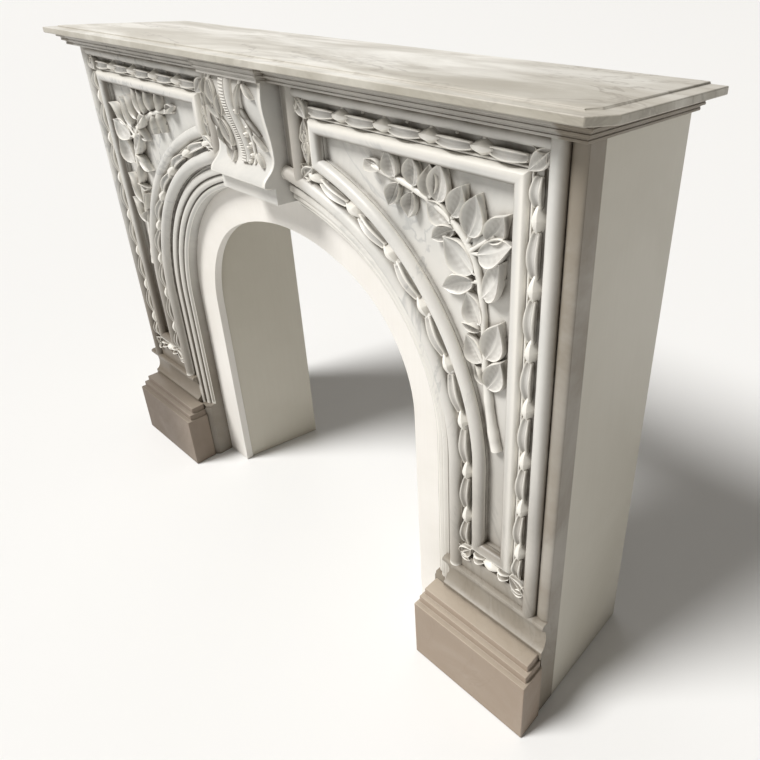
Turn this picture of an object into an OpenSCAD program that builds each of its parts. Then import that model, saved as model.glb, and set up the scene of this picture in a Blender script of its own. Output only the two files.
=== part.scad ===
// Arched marble chimneypiece: moulded shelf, keystone, two carved spandrel legs
// on stepped plinths, and a painted boarded surround behind them.
// +X is to the right seen from the front, the front faces -Y, +Z is up.

/* [Overall] */
// Height from the floor to the top of the shelf
total_h = 1176; // [980:1:1420]
// Half the width across the outer edges of the marble legs
leg_x = 740; // [610:1:890]
// Depth of the boards behind the marble
back_y = 250; // [150:1:400]
// Number of straight pieces that make each curved stretch
arc_steps = 24; // [8:1:48]

/* [Arched opening] */
// Half width of the marble opening
open_x = 452; // [376:1:520]
// Height where the arch leaves the vertical
spring_z = 520; // [400:1:620]
// Radius of the haunches
haunch_r = 372; // [250:1:440]
// Radius of the crown
crown_r = 560; // [480:1:800]

/* [Shelf] */
// How far the shelf stands past the outer edge of each leg
shelf_over = 50; // [20:1:120]
// Reach of the shelf in front of the back of the marble
shelf_out = 104; // [80:1:160]
// Height of the plain edge of the shelf
fascia_h = 12.5; // [8:0.5:30]
// Height of the raised field on the shelf
field_h = 3.5; // [2:0.5:8]
// Width of the low border round the raised field
field_in = 28; // [15:1:60]
// Width of each clipped front corner
clip_x = 22; // [10:1:50]
// Depth of each clipped front corner
clip_y = 42; // [10:1:60]
// Height of the moulding under the shelf
bed_h = 27; // [18:3:60]
// Set back of the first fillet under the shelf
bed_in = 24; // [15:1:45]
// Set back of each next fillet
bed_step = 7; // [4:1:14]
// Depth of the moulding from front to back
bed_w = 76; // [40:1:90]

/* [Marble legs] */
// Thickness of the legs at their flat margins
leg_t = 38; // [30:1:60]
// Thickness of the leg behind the sunk panel
panel_t = 31; // [20:1:36]
// Thickness at the edge of the opening
edge_t = 22; // [15:1:28]
// Thickness at the second step of the opening
step_t = 30; // [20:1:36]
// Width of the first step of the opening
edge_w = 14; // [8:1:24]
// Width of the second step of the opening
step_w = 16; // [8:1:24]
// Width of the third step of the opening
ridge_w = 15; // [8:1:24]
// Width of the groove beside the arch roll
groove_w = 9; // [4:1:14]
// Width of the outer roll
roll_w = 27; // [18:1:36]
// Width of the channel that holds the beads
chan_w = 30; // [22:1:44]
// Width of the roll round the panel
inner_w = 25; // [16:1:34]
// Height of the roll centres in front of the back of the marble
roll_t = 42; // [38:1:50]
// Width of the fine groove between the outer margin and the roll
quirk_w = 5; // [2:0.5:8]
// Width of the outer margin with its groove
margin_w = 26; // [10:1:40]
// Distance from the keystone to the roll of the leg
key_margin = 32; // [20:1:60]
// Height of the lower edge of the bead channel
chan_z = 301; // [280:1:360]
// Width of the band between the top channel and the shelf moulding
top_band = 22; // [14:1:40]

/* [Foot of the legs] */
// Height of the plain block at the foot
block_z = 168; // [140:1:200]
// How far the block at the foot stands in front of the leg
block_out = 12; // [9:1:30]
// Height of the small fillet on the block
fillet_h = 7; // [4:1:14]
// Height of the top of the hollow band
hollow_z = 247; // [200:1:260]
// Height of the lip above the hollow band
lip_h = 14; // [8:1:24]
// Chamfer on the opening side of the block
block_c = 12; // [4:1:24]

/* [Plinths] */
// Height of the plinth block
plinth_h = 149; // [110:1:190]
// Reach of the plinth in front of the leg block
plinth_out = 58; // [40:1:90]
// How far the plinth stands past the outer edge of the leg
plinth_over = 4; // [0:1:20]
// Inner edge of the plinth past the edge of the opening
plinth_gap = 7; // [2:1:20]
// Height of each of the two upper steps
tier_h = 16; // [10:1:30]
// Set back of each step at the front
tier_back = 11; // [6:1:18]
// Set back of each step at the ends
tier_in = 5; // [3:1:12]

/* [Keystone] */
// Half width of the keystone
key_x = 94; // [70:1:130]
// How far its underside stands above the crown of the arch
key_rise = 2.129; // [-20:0.001:30]
// Reach of its flat foot
key_foot = 71; // [60:1:90]
// Height of its flat foot
key_foot_h = 32; // [20:1:50]
// Reach of the rounded lip above the foot
key_lip = 93; // [75:1:110]
// Reach of the narrow waist
key_waist = 66; // [55:1:80]
// Reach of the swelling top
key_top = 81; // [70:1:100]
// Height of the stem on its face
key_relief = 3; // [1:0.5:8]

/* [Beads and branch] */
// Length of a bead
bead_l = 52; // [30:1:70]
// Width of a bead
bead_w = 20; // [12:1:28]
// Beads along each outer side
side_beads = 7; // [3:1:10]
// Beads along the top
top_beads = 4; // [2:1:8]
// Beads along the arch
arch_beads = 8; // [3:1:12]
// Distance from a corner to the first bead at the sides
side_end = 80; // [50:1:120]
// Distance from a corner to the first bead at the top
top_end = 100; // [50:1:140]
// Width of the ribbon between the beads
ribbon_w = 11; // [6:1:18]
// Thickness of the branch
leaf_t = 6; // [5:1:16]
// Thickness of the middle of the leaves above their edges
leaf_top = 2; // [2:1:8]
// Width of a leaf as a share of its length
leaf_width = 0.34; // [0.3:0.02:0.6]
// Width of the stem
stem_w = 9; // [6:1:18]

/* [Boards] */
// Thickness of the boards
board_t = 18; // [12:1:25]
// Width of the slip that shows round the opening
slip_w = 84; // [50:1:120]
// Width of the slip hidden behind the marble
slip_hidden = 90; // [40:1:140]
// Depth of the side boards of the opening
cheek_y = 202; // [120:1:300]
// Slant of the side boards of the opening towards the middle
cheek_slant = 40; // [0:1:80]
// Height of the side boards of the opening
cheek_h = 880; // [700:1:1000]
// Set back of the side boards behind the edge of the slip
cheek_in = 3; // [1:0.5:10]

/* [Hidden] */
$fn = 48;
marble = [0.86, 0.85, 0.82];
stained = [0.78, 0.74, 0.68];
painted = [0.93, 0.91, 0.87];

block_t = leg_t + block_out;                // thickness of the block at the foot
front_y = block_t + plinth_out;             // plinth face, in front of the marble's back
mid_y = (back_y - front_y) / 2;
shelf_x = leg_x + shelf_over;               // half width of the shelf
field_z = total_h - field_h;
fascia_z = field_z - fascia_h;
marble_z = fascia_z - bed_h;                // top of the legs and of the boards

haunch_x = open_x - haunch_r;               // haunch centre
crown_z = spring_z - sqrt(pow(crown_r - haunch_r, 2) - pow(haunch_x, 2));
lean = atan2(haunch_x, spring_z - crown_z); // half angle of the crown
key_z = crown_z + crown_r + key_rise;       // underside of the keystone

// distances outwards from the edge of the opening
d_step = edge_w;
d_ridge = d_step + step_w;
d_groove = d_ridge + ridge_w;
d_roll = d_groove + groove_w;
d_chan = d_roll + roll_w;
d_inner = d_chan + chan_w;
d_panel = d_inner + inner_w;

// frame lines of the right leg
chan_x1 = leg_x - margin_w - roll_w;
chan_z1 = marble_z - top_band;
chan_x0 = key_x + key_margin + roll_w;
panel_x0 = chan_x0 + chan_w + inner_w;
panel_x1 = chan_x1 - chan_w - inner_w;
panel_z0 = chan_z + chan_w + inner_w;
panel_z1 = chan_z1 - chan_w - inner_w;
mid_x1 = chan_x1 - chan_w / 2;
mid_x0 = chan_x0 + chan_w / 2;
mid_z1 = chan_z1 - chan_w / 2;
mid_z0 = chan_z + chan_w / 2;
d_mid = d_chan + chan_w / 2;
hollow_x = open_x + d_groove - 6;           // inner end of the lip and hollow band

// point on the arch line that lies d outside the opening, at height angle a
function arch_pt(d, a) = a <= 90 - lean
    ? [haunch_x + (haunch_r + d) * cos(a), spring_z + (haunch_r + d) * sin(a)]
    : [(crown_r + d) * cos(a), crown_z + (crown_r + d) * sin(a)];
// height angle at which the arch line d meets x, on the crown or on the haunch
function arch_end(d, x) = let (a = acos(x / (crown_r + d)))
    a > 90 - lean ? a : acos((x - haunch_x) / (haunch_r + d));
function arch_line(d, x) = [for (i = [0 : arc_steps])
    arch_pt(d, arch_end(d, x) * i / arc_steps)];
// the area above the arch line d, between x0 and x1, from z0 up to z1
function arch_area(d, x0, x1, z0, z1) = concat(
    [[open_x + d, z0]], arch_line(d, x0), [[x0, z1], [x1, z1], [x1, z0]]);
function bez(p, t) = p[0] * pow(1 - t, 3) + p[1] * 3 * t * pow(1 - t, 2)
    + p[2] * 3 * t * t * (1 - t) + p[3] * pow(t, 3);

// a flat outline in x and z made solid from t0 to t1 in front of the marble's back
module forward(t0, t1) translate([0, -t0, 0]) rotate([90, 0, 0])
    linear_extrude(t1 - t0) children();
// an outline in -t and z made solid from x0 to x1
module across(x0, x1) translate([x0, 0, 0]) rotate([90, 0, 90])
    linear_extrude(x1 - x0) children();

// solid between outlines with the same number of points, the last one joined to the first
module loft(rings, closed) {
    n = len(rings);
    m = len(rings[0]);
    polyhedron([for (r = rings, p = r) p], concat(
        [for (i = [0 : n - 1], j = [0 : m - (closed ? 1 : 2)])
            let (a = i * m, b = (i + 1) % n * m, k = (j + 1) % m)
            [a + j, b + j, b + k, a + k]],
        closed ? [] : [[for (i = [n - 1 : -1 : 0]) i * m],
            [for (i = [0 : n - 1]) i * m + m - 1]]));
}
// half-round section: how far across the roll and how far forward
function roll_pts(w) = concat(
    [for (a = [0 : 30 : 180]) [w / 2 * (1 - cos(a)), roll_t + w / 2 * sin(a)]],
    [[w - 3, leg_t - 4], [3, leg_t - 4]]);
function raised(outline, t) = [for (p = outline) [p[0], -t, p[1]]];

module up_run(x, z0, z1) translate([x, 0, z0]) linear_extrude(z1 - z0) rotate(180) children();
module side_run(z, x0, x1) translate([x0, 0, z]) rotate([90, 0, 90])
    linear_extrude(x1 - x0) rotate(90) children();

// section of a roll and of a ribbon: y is the distance in front of the marble's back
module roll_sec(w) translate([0, roll_t]) circle(d = w);
module ribbon_sec() translate([-ribbon_w / 2, leg_t - 5]) square([ribbon_w, 10]);

module panel_roll() loft([for (q = roll_pts(inner_w)) let (g = q[0])
    raised(arch_area(d_panel - g, panel_x0 - g, panel_x1 + g, panel_z0 - g, panel_z1 + g), q[1])],
    true);
module arch_roll() loft([for (q = roll_pts(roll_w)) raised(
    concat([[open_x + d_chan - q[0], hollow_z + 2]], arch_line(d_chan - q[0], key_x)), q[1])],
    false);

module bead(x, z, turn) translate([x, -leg_t - 1, z]) rotate([0, turn, 0])
    for (m = [0, 1]) mirror([0, 0, m])
        cylinder(h = bead_l / 2 - 4, r1 = bead_w / 2, r2 = 1.5, $fn = 24);

module beads() {
    side_pitch = (mid_z1 - mid_z0 - 2 * side_end) / (side_beads - 1);
    top_pitch = (mid_x1 - mid_x0 - 2 * top_end) / (top_beads - 1);
    for (i = [0 : side_beads - 1]) bead(mid_x1, mid_z1 - side_end - i * side_pitch, 0);
    for (i = [0 : top_beads - 1]) bead(mid_x0 + top_end + i * top_pitch, mid_z1, 90);
    bead((open_x + d_mid + mid_x1) / 2, mid_z0, 90);
    // along the arch, from the foot up
    rise = spring_z - mid_z0;
    haunch_l = (haunch_r + d_mid) * (90 - lean) * PI / 180;
    arch_l = rise + haunch_l
        + (crown_r + d_mid) * (arch_end(d_mid, mid_x0) - 90 + lean) * PI / 180;
    for (i = [0 : arch_beads - 1]) {
        s = bead_l + 38 + i * (arch_l - 2 * bead_l - 36) / (arch_beads - 1);
        a = s < rise ? 0
            : s < rise + haunch_l ? (s - rise) / (haunch_r + d_mid) * 180 / PI
            : 90 - lean + (s - rise - haunch_l) / (crown_r + d_mid) * 180 / PI;
        p = s < rise ? [open_x + d_mid, mid_z0 + s] : arch_pt(d_mid, a);
        bead(p[0], p[1], -a);
    }
}

module ribbons() {
    in = d_mid - ribbon_w / 2;
    out = d_mid + ribbon_w / 2;
    forward(leg_t - 5, leg_t + 5) polygon(concat(
        [[open_x + in, chan_z - 3]], arch_line(in, mid_x0),
        [for (i = [arc_steps : -1 : 0]) arch_line(out, mid_x0)[i]], [[open_x + out, chan_z - 3]]));
    up_run(mid_x1, chan_z - 3, chan_z1 + 3) ribbon_sec();
    side_run(mid_z1, chan_x0 - 3, chan_x1 + 3) ribbon_sec();
    side_run(mid_z0, open_x + d_chan - 3, chan_x1 + 3) ribbon_sec();
    up_run(mid_x0, arch_pt(d_mid, arch_end(d_mid, mid_x0))[1] - 3, chan_z1 + 3) ribbon_sec();
}

// the carved branch: a stem that rises from the foot of the panel and bends
// inwards over the arch
stem = [[panel_x1 - 25, panel_z1 - 471], [panel_x1 - 101, panel_z1 - 194],
    [panel_x1 + 28, panel_z1 - 75], [panel_x1 - 304, panel_z1 - 31]];
// leaves up the stem: place along it, heading from +X, length
leaves = [[0.15, 53, 60], [0.16, 129, 32], [0.22, 139, 44], [0.23, 56, 70], [0.32, 163, 34],
    [0.33, 130, 44], [0.43, 46, 64], [0.49, 192, 62], [0.51, 152, 64], [0.6, 16, 72],
    [0.61, 40, 80], [0.64, 60, 70], [0.7, 196, 40], [0.72, 164, 44], [0.77, 56, 48],
    [0.8, 66, 56], [0.82, 91, 46], [0.88, 249, 34], [0.88, 79, 40], [0.92, 227, 34],
    [0.93, 120, 36], [0.97, 150, 28]];

module leaf_shape(l, w, k) translate([l * (1 - k) / 2, 0]) polygon([
    for (i = [0 : 11]) let (u = i < 6 ? i / 6 : 2 - i / 6, s = i < 6 ? 1 : -1)
        [l * k * u, s * w / 2 * k * pow(sin(180 * pow(u, 0.85)), 0.8)]]);

module branch() {
    n = 14;
    forward(panel_t - 3, panel_t + leaf_t) polygon(concat(
        [for (i = [0 : n]) bez(stem, i / n) + [stem_w * (1 - 0.5 * i / n) / 2, 1]],
        [for (i = [n : -1 : 0]) bez(stem, i / n) - [stem_w * (1 - 0.5 * i / n) / 2, 1]]));
    for (f = leaves) let (p = bez(stem, f[0])) {
        forward(panel_t - 3, panel_t + leaf_t - 2)
            translate(p) rotate(f[1]) leaf_shape(f[2], f[2] * leaf_width, 1);
        forward(panel_t, panel_t + leaf_t - 2 + leaf_top)
            translate(p) rotate(f[1]) leaf_shape(f[2], f[2] * leaf_width, 0.6);
    }
}

// hollow band and lip over the foot
module hollow_band() {
    z0 = block_z + fillet_h;
    n = 10;
    across(hollow_x, leg_x) polygon(concat(
        [[-leg_t + 4, hollow_z + lip_h], [-block_t, hollow_z + lip_h], [-block_t, hollow_z]],
        [for (i = [0 : n]) let (u = 1 - 2 * i / n)
            [-leg_t - 1 - 7 * u * u, z0 + (hollow_z - z0) * (u + 1) / 2]],
        [[-leg_t + 4, z0]]));
}

module foot_block() {
    linear_extrude(block_z) polygon([[open_x, 0], [open_x, -block_t + block_c],
        [open_x + block_c, -block_t], [leg_x, -block_t], [leg_x, 0]]);
    translate([0, 0, block_z]) linear_extrude(fillet_h)
        polygon([[open_x, 0], [open_x, 3 - block_t + block_c],
            [open_x + block_c, 3 - block_t], [leg_x, 3 - block_t], [leg_x, 0]]);
}

module leg() {
    forward(0, edge_t) polygon(arch_area(0, key_x, leg_x, block_z, marble_z));
    forward(edge_t, step_t) polygon(arch_area(d_step, key_x, leg_x, block_z, marble_z));
    difference() {
        forward(step_t, leg_t) polygon(arch_area(d_ridge, key_x, leg_x, block_z, marble_z));
        forward(step_t, leg_t + 1) difference() {
            polygon(arch_area(d_groove, key_x - 5, leg_x + 5, hollow_z, marble_z - top_band));
            polygon(arch_area(d_roll - 1, key_x - 6, leg_x + 6, hollow_z - 1,
                marble_z - top_band + 1));
        }
        for (x = [leg_x - margin_w - 1, key_x + key_margin - quirk_w + 1])
            forward(leg_t - 5, leg_t + 1) translate([x, hollow_z])
                square([quirk_w, marble_z - hollow_z + 1]);
        forward(panel_t, leg_t + 1)
            polygon(arch_area(d_panel, panel_x0, panel_x1, panel_z0, panel_z1));
    }
    foot_block();
    hollow_band();
    // outer rolls
    arch_roll();
    up_run(chan_x1 + roll_w / 2, hollow_z + lip_h / 2, marble_z) roll_sec(roll_w);
    up_run(chan_x0 - roll_w / 2, arch_pt(d_roll, 80)[1], marble_z) roll_sec(roll_w);
    side_run(marble_z - top_band / 2, chan_x0 - 8, chan_x1 + 8) roll_sec(top_band - 1);
    forward(leg_t - 2, leg_t + 6) translate([open_x + d_roll + 8, hollow_z + 2])
        square([chan_x1 - open_x - d_roll, chan_z - hollow_z - 13]);
    forward(leg_t - 2, leg_t + 8) translate([open_x + d_roll + 8, chan_z - 11])
        square([chan_x1 - open_x - d_roll, 11]);
    panel_roll();
    ribbons();
    beads();
    branch();
}

module right_leg() color(marble) translate([0, -mid_y, 0]) leg();
module left_leg() color(marble) translate([0, -mid_y, 0]) mirror([1, 0, 0]) leg();

module plinth() {
    x0 = open_x + plinth_gap;
    x1 = leg_x + plinth_over;
    for (i = [0 : 2]) let (z = i == 0 ? 0 : plinth_h + (i - 1) * tier_h)
        translate([x0 + i * tier_in, -front_y + i * tier_back, z])
            cube([x1 - x0 - 2 * i * tier_in, plinth_out - i * tier_back, i == 0 ? plinth_h : tier_h]);
}

module right_plinth() color(stained) translate([0, -mid_y, 0]) plinth();
module left_plinth() color(stained) translate([0, -mid_y, 0]) mirror([1, 0, 0]) plinth();

// side profile of the keystone
function key_side() = let (z1 = key_z + key_foot_h, n = 10,
        low = [[key_lip, z1 + 5], [key_lip, z1 + 25], [key_waist, z1 + 26], [key_waist, z1 + 56]],
        high = [[key_waist, z1 + 56], [key_waist, z1 + 110], [key_top + 6, z1 + 140],
            [key_top - 8, marble_z]])
    concat([for (i = [0 : n]) bez(low, i / n)], [for (i = [1 : n]) bez(high, i / n)]);

// raised stem down the face of the keystone
module key_stem() {
    z1 = key_z + key_foot_h + 50;
    intersection() {
        across(-key_x, key_x) polygon(concat([[-30, z1]],
            [for (p = key_side()) if (p[1] > z1) [-p[0] - key_relief, p[1]]], [[-30, marble_z]]));
        forward(30, 130)
            polygon([[6, z1], [20, z1], [-8, marble_z - 2], [-22, marble_z - 2]]);
    }
}

module keystone() color(marble) translate([0, -mid_y, 0]) {
    z1 = key_z + key_foot_h;
    across(-key_x, key_x) polygon(concat(
        [[0, key_z], [-key_foot, key_z], [-key_foot, z1], [-key_lip, z1 + 5]],
        [for (p = key_side()) [-p[0], p[1]]], [[0, marble_z]]));
    key_stem();
}

function clipped(x, y0, y1, cx, cy) = [[-x, y1], [-x, y0 + cy], [-x + cx, y0],
    [x - cx, y0], [x, y0 + cy], [x, y1]];

module shelf() color(stained) translate([0, -mid_y, 0]) {
    translate([0, 0, fascia_z]) linear_extrude(fascia_h)
        polygon(clipped(shelf_x, -shelf_out, back_y, clip_x, clip_y));
    translate([0, 0, field_z]) linear_extrude(field_h)
        polygon(clipped(shelf_x - field_in, -shelf_out + field_in, back_y, clip_x / 2, clip_y / 2));
}

// three small fillets under the shelf, returned along the ends and broken
// forward over the keystone
module bed_moulding() color(marble) translate([0, -mid_y, 0]) {
    h = bed_h / 3;
    for (i = [0 : 2]) let (s = bed_in + i * bed_step, x = shelf_x - s, y = -shelf_out + s)
        translate([0, 0, fascia_z - (i + 1) * h]) {
            linear_extrude((i + 1) * h) difference() {
                translate([-x, y]) square([2 * x, back_y - y]);
                translate([bed_w - shelf_x, 0]) square([2 * (shelf_x - bed_w), back_y + 1]);
            }
            translate([-key_x - 14 + i * 4, -key_top - 12 + i * 4, 0])
                cube([2 * (key_x + 14 - i * 4), key_top + 12 - i * 4, (i + 1) * h]);
        }
}

module return_board() translate([leg_x - board_t, 0, 0]) cube([board_t, back_y, marble_z]);
module right_return() color(painted) translate([0, -mid_y, 0]) return_board();
module left_return() color(painted) translate([0, -mid_y, 0]) mirror([1, 0, 0]) return_board();

// painted board behind the marble, with its own smaller arch
module arch_slip() color(painted) translate([0, -mid_y, 0]) {
    x = open_x + slip_hidden;
    top = arch_pt(0, 90)[1] + slip_hidden;
    rise = arch_line(-slip_w, 0);
    forward(-board_t, 0) polygon(concat([[x, 0], [x, top], [-x, top], [-x, 0],
        [slip_w - open_x, 0]], [for (p = rise) [-p[0], p[1]]],
        [for (i = [arc_steps - 1 : -1 : 0]) rise[i]], [[open_x - slip_w, 0]]));
}

module cheek() {
    x = open_x - slip_w + cheek_in;
    y1 = board_t + cheek_y;
    linear_extrude(cheek_h) polygon([[x, board_t], [x - cheek_slant, y1],
        [x - cheek_slant + board_t, y1], [x + board_t, board_t]]);
}
module right_cheek() color(painted) translate([0, -mid_y, 0]) cheek();
module left_cheek() color(painted) translate([0, -mid_y, 0]) mirror([1, 0, 0]) cheek();

shelf();
bed_moulding();
keystone();
right_leg();
left_leg();
right_plinth();
left_plinth();
arch_slip();
right_return();
left_return();
right_cheek();
left_cheek();
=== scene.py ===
import math

import bmesh
import bpy
import numpy as np
from mathutils import Euler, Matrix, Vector


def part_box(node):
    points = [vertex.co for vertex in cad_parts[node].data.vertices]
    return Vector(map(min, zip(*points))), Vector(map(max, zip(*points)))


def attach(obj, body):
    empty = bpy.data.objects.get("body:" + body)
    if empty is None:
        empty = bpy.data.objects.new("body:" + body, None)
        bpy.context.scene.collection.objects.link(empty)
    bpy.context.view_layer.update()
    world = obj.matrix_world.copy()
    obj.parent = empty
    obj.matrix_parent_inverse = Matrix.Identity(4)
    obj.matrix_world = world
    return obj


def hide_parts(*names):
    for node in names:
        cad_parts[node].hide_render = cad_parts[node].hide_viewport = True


# Carved marble chimneypiece: the cut blocks come from the frame, and this script adds the
# fine mouldings, beads, ribbons, branch and keystone carving, the stone and the light.
# Sizes are in metres.

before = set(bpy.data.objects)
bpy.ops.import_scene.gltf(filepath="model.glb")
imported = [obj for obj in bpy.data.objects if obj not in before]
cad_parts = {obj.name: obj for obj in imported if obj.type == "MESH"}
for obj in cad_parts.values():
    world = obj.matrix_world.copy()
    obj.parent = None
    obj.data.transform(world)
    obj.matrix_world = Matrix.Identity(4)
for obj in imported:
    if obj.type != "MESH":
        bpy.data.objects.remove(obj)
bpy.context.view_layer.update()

# the marble's back is the plane where it meets the boards
legSide, marbleBack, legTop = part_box("right_leg")[1]
keyLow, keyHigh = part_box("keystone")
keySide = keyHigh[0]

arch = {
    "halfWidth": 0.452,     # half the clear opening
    "springZ": 0.520,
    "haunchRadius": 0.372,
    "crownRadius": 0.560,
    "steps": 170,           # rows along a moulding that follows the arch
}

leg = {
    "margin": 0.026,        # widths across the leg, from its outer side inwards
    "roll": 0.027,
    "channel": 0.030,
    "innerRoll": 0.025,
    "archRollAt": 0.054,    # distances from the opening, from the top and from the keystone
    "topBand": 0.022,
    "keyMargin": 0.032,
    "rollHeight": 0.042,    # heights in front of the marble's back
    "face": 0.038,
    "panel": 0.031,
    "footZ": 0.175,         # levels above the floor
    "lipZ": 0.261,
    "channelFoot": 0.301,
}

channelRight = legSide - leg["margin"] - leg["roll"]
channelLeft = keySide + leg["keyMargin"] + leg["roll"]
channelTop = legTop - leg["topBand"]
channelFoot = leg["channelFoot"]
channelArch = leg["archRollAt"] + leg["roll"]
halfChannel = leg["channel"] / 2
midRight = channelRight - halfChannel
midLeft = channelLeft + halfChannel
midTop = channelTop - halfChannel
midFoot = channelFoot + halfChannel
midArch = channelArch + halfChannel
inset = leg["channel"] + leg["innerRoll"]
panelRight = channelRight - inset
panelLeft = channelLeft + inset
panelTop = channelTop - inset
panelFoot = channelFoot + inset
panelArch = channelArch + inset

haunchX = arch["halfWidth"] - arch["haunchRadius"]
crownDrop = math.sqrt((arch["crownRadius"] - arch["haunchRadius"]) ** 2 - haunchX ** 2)
crownZ = arch["springZ"] - crownDrop
lean = math.atan2(haunchX, crownDrop)
print("frame loaded, panel from", round(panelLeft, 3), "to", round(panelRight, 3))


def archLength(d, x):
    # length along the arch line d outside the opening, from the springing to where it meets x
    haunch = (arch["haunchRadius"] + d) * (math.pi / 2 - lean)
    top = math.acos(x / (arch["crownRadius"] + d))
    return haunch + (arch["crownRadius"] + d) * (top - math.pi / 2 + lean)


def archLine(d, footZ):
    # straight up from footZ to the springing, then the haunch circle, then the crown circle;
    # gives place and heading for an array of lengths
    rise = arch["springZ"] - footZ
    rHaunch = arch["haunchRadius"] + d
    rCrown = arch["crownRadius"] + d
    haunch = rHaunch * (math.pi / 2 - lean)

    def at(s):
        s = np.asarray(s, float)
        a = np.where(s < rise, 0, np.where(
            s < rise + haunch, (s - rise) / rHaunch,
            math.pi / 2 - lean + (s - rise - haunch) / rCrown))
        onHaunch = s < rise + haunch
        x = np.where(onHaunch, haunchX + rHaunch * np.cos(a), rCrown * np.cos(a))
        z = np.where(onHaunch, arch["springZ"] + rHaunch * np.sin(a), crownZ + rCrown * np.sin(a))
        z = np.where(s < rise, footZ + s, z)
        return x, z, -np.sin(a), np.cos(a)
    return at


def straightLine(start, end):
    # place and heading for an array of lengths along a straight line in the front plane
    (x0, z0), (x1, z1) = start, end
    size = math.hypot(x1 - x0, z1 - z0)
    dx, dz = (x1 - x0) / size, (z1 - z0) / size

    def at(s):
        s = np.asarray(s, float)
        return x0 + dx * s, z0 + dz * s, np.full_like(s, dx), np.full_like(s, dz)
    return at, size


def along(line, s, across, height):
    # s along the line, across to its right-hand side, height in front of the marble's back
    x, z, dx, dz = line(s)
    return np.stack([x + dz * across, marbleBack - height + 0 * x, z - dx * across], -1)


def addGrid(parts, grid):
    # a part is a grid of rows x section x 3, where each section is a closed ring, and whether its last
    # row joins its first; where it doesn't, as here, the ends are capped
    parts.append((grid, False))


def buildPiece(name, parts, material, sides=(1,), smoothAngle=38):
    # joins the rings of each grid with quads, for the right side (1) and mirrored for the left (-1)
    pieces = []
    for side in sides:
        points, quads, caps, base = [], [], [], 0
        for grid, closedAlong in parts:
            rows, ring = grid.shape[:2]
            points.append(grid.reshape(-1, 3) * (side, 1, 1))
            count = rows if closedAlong else rows - 1
            row, point = np.meshgrid(np.arange(count), np.arange(ring), indexing="ij")
            nextRow, nextPoint = (row + 1) % rows, (point + 1) % ring
            quad = np.stack([row * ring + point, row * ring + nextPoint,
                             nextRow * ring + nextPoint, nextRow * ring + point], -1)
            quads.append(quad.reshape(-1, 4) + base)
            if not closedAlong:
                caps.append((np.arange(ring)[::-1] + base).tolist())
                caps.append((np.arange(ring) + (rows - 1) * ring + base).tolist())
            base += rows * ring
        faces = np.vstack(quads).tolist() + caps
        mesh = bpy.data.meshes.new(name)
        mesh.from_pydata(np.vstack(points).tolist(), [], faces)
        if side < 0:
            mesh.flip_normals()
        label = name if len(sides) == 1 else ("right" if side > 0 else "left") + name
        piece = bpy.data.objects.new(label, mesh)
        bpy.context.scene.collection.objects.link(piece)
        cleanPiece(piece, smoothAngle)
        piece.data.materials.append(material)
        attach(piece, "root")
        pieces.append(piece)
    print("built", name, [len(p.data.polygons) for p in pieces])
    return pieces


weld = {
    "merge": 1e-5,          # points nearer than this become one
    "shortest": 1e-6,
    "flat": 0.01,           # faces that lean less than this, in radians, become one
    "arrisAngle": 25,       # degrees from which an edge is worn
    "sharpAngle": 50,
    "segments": 2,
}


def cleanPiece(piece, smoothAngle):
    # closes the poles, turns every shell outwards and keeps crisp arrises
    work = bmesh.new()
    work.from_mesh(piece.data)
    bmesh.ops.remove_doubles(work, verts=work.verts, dist=weld["merge"])
    bmesh.ops.dissolve_degenerate(work, edges=work.edges, dist=weld["shortest"])
    bmesh.ops.recalc_face_normals(work, faces=work.faces)
    work.to_mesh(piece.data)
    work.free()
    piece.data.validate()
    piece.data.shade_smooth()
    piece.data.set_sharp_from_angle(angle=math.radians(smoothAngle))


def softenCut(node, material, width):
    # a cut block with worn arrises: merged copy of the block, bevelled
    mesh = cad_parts[node].data.copy()
    work = bmesh.new()
    work.from_mesh(mesh)
    bmesh.ops.remove_doubles(work, verts=work.verts, dist=weld["merge"])
    bmesh.ops.dissolve_limit(work, angle_limit=weld["flat"], verts=work.verts, edges=work.edges)
    bmesh.ops.recalc_face_normals(work, faces=work.faces)
    work.to_mesh(mesh)
    work.free()
    name = "worn_" + node
    mesh.name = name
    mesh.materials.clear()
    mesh.materials.append(material)
    mesh.shade_smooth()
    mesh.set_sharp_from_angle(angle=math.radians(weld["sharpAngle"]))
    piece = bpy.data.objects.new(name, mesh)
    bpy.context.scene.collection.objects.link(piece)
    bevel = piece.modifiers.new("arris", "BEVEL")
    bevel.width = width
    bevel.segments = weld["segments"]
    bevel.limit_method = "ANGLE"
    bevel.angle_limit = math.radians(weld["arrisAngle"])
    bevel.harden_normals = False
    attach(piece, "root")
    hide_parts(node)


def newGroup(name, inputs, outputs):
    # an empty node group with its sockets
    group = bpy.data.node_groups.new(name, "ShaderNodeTree")
    for label, kind in inputs:
        group.interface.new_socket(name=label, in_out="INPUT", socket_type=kind)
    for label, kind in outputs:
        group.interface.new_socket(name=label, in_out="OUTPUT", socket_type=kind)
    return group, group.nodes.new("NodeGroupInput"), group.nodes.new("NodeGroupOutput")


def addNode(tree, kind, **values):
    node = tree.nodes.new(kind)
    for key, value in values.items():
        setattr(node, key, value)
    return node


def addNoise(tree, vector, scale, detail=4, roughness=0.55, distortion=0.0):
    node = addNode(tree, "ShaderNodeTexNoise")
    node.inputs["Scale"].default_value = scale
    node.inputs["Detail"].default_value = detail
    node.inputs["Roughness"].default_value = roughness
    node.inputs["Distortion"].default_value = distortion
    tree.links.new(vector, node.inputs["Vector"])
    return node.outputs["Fac"]


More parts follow.
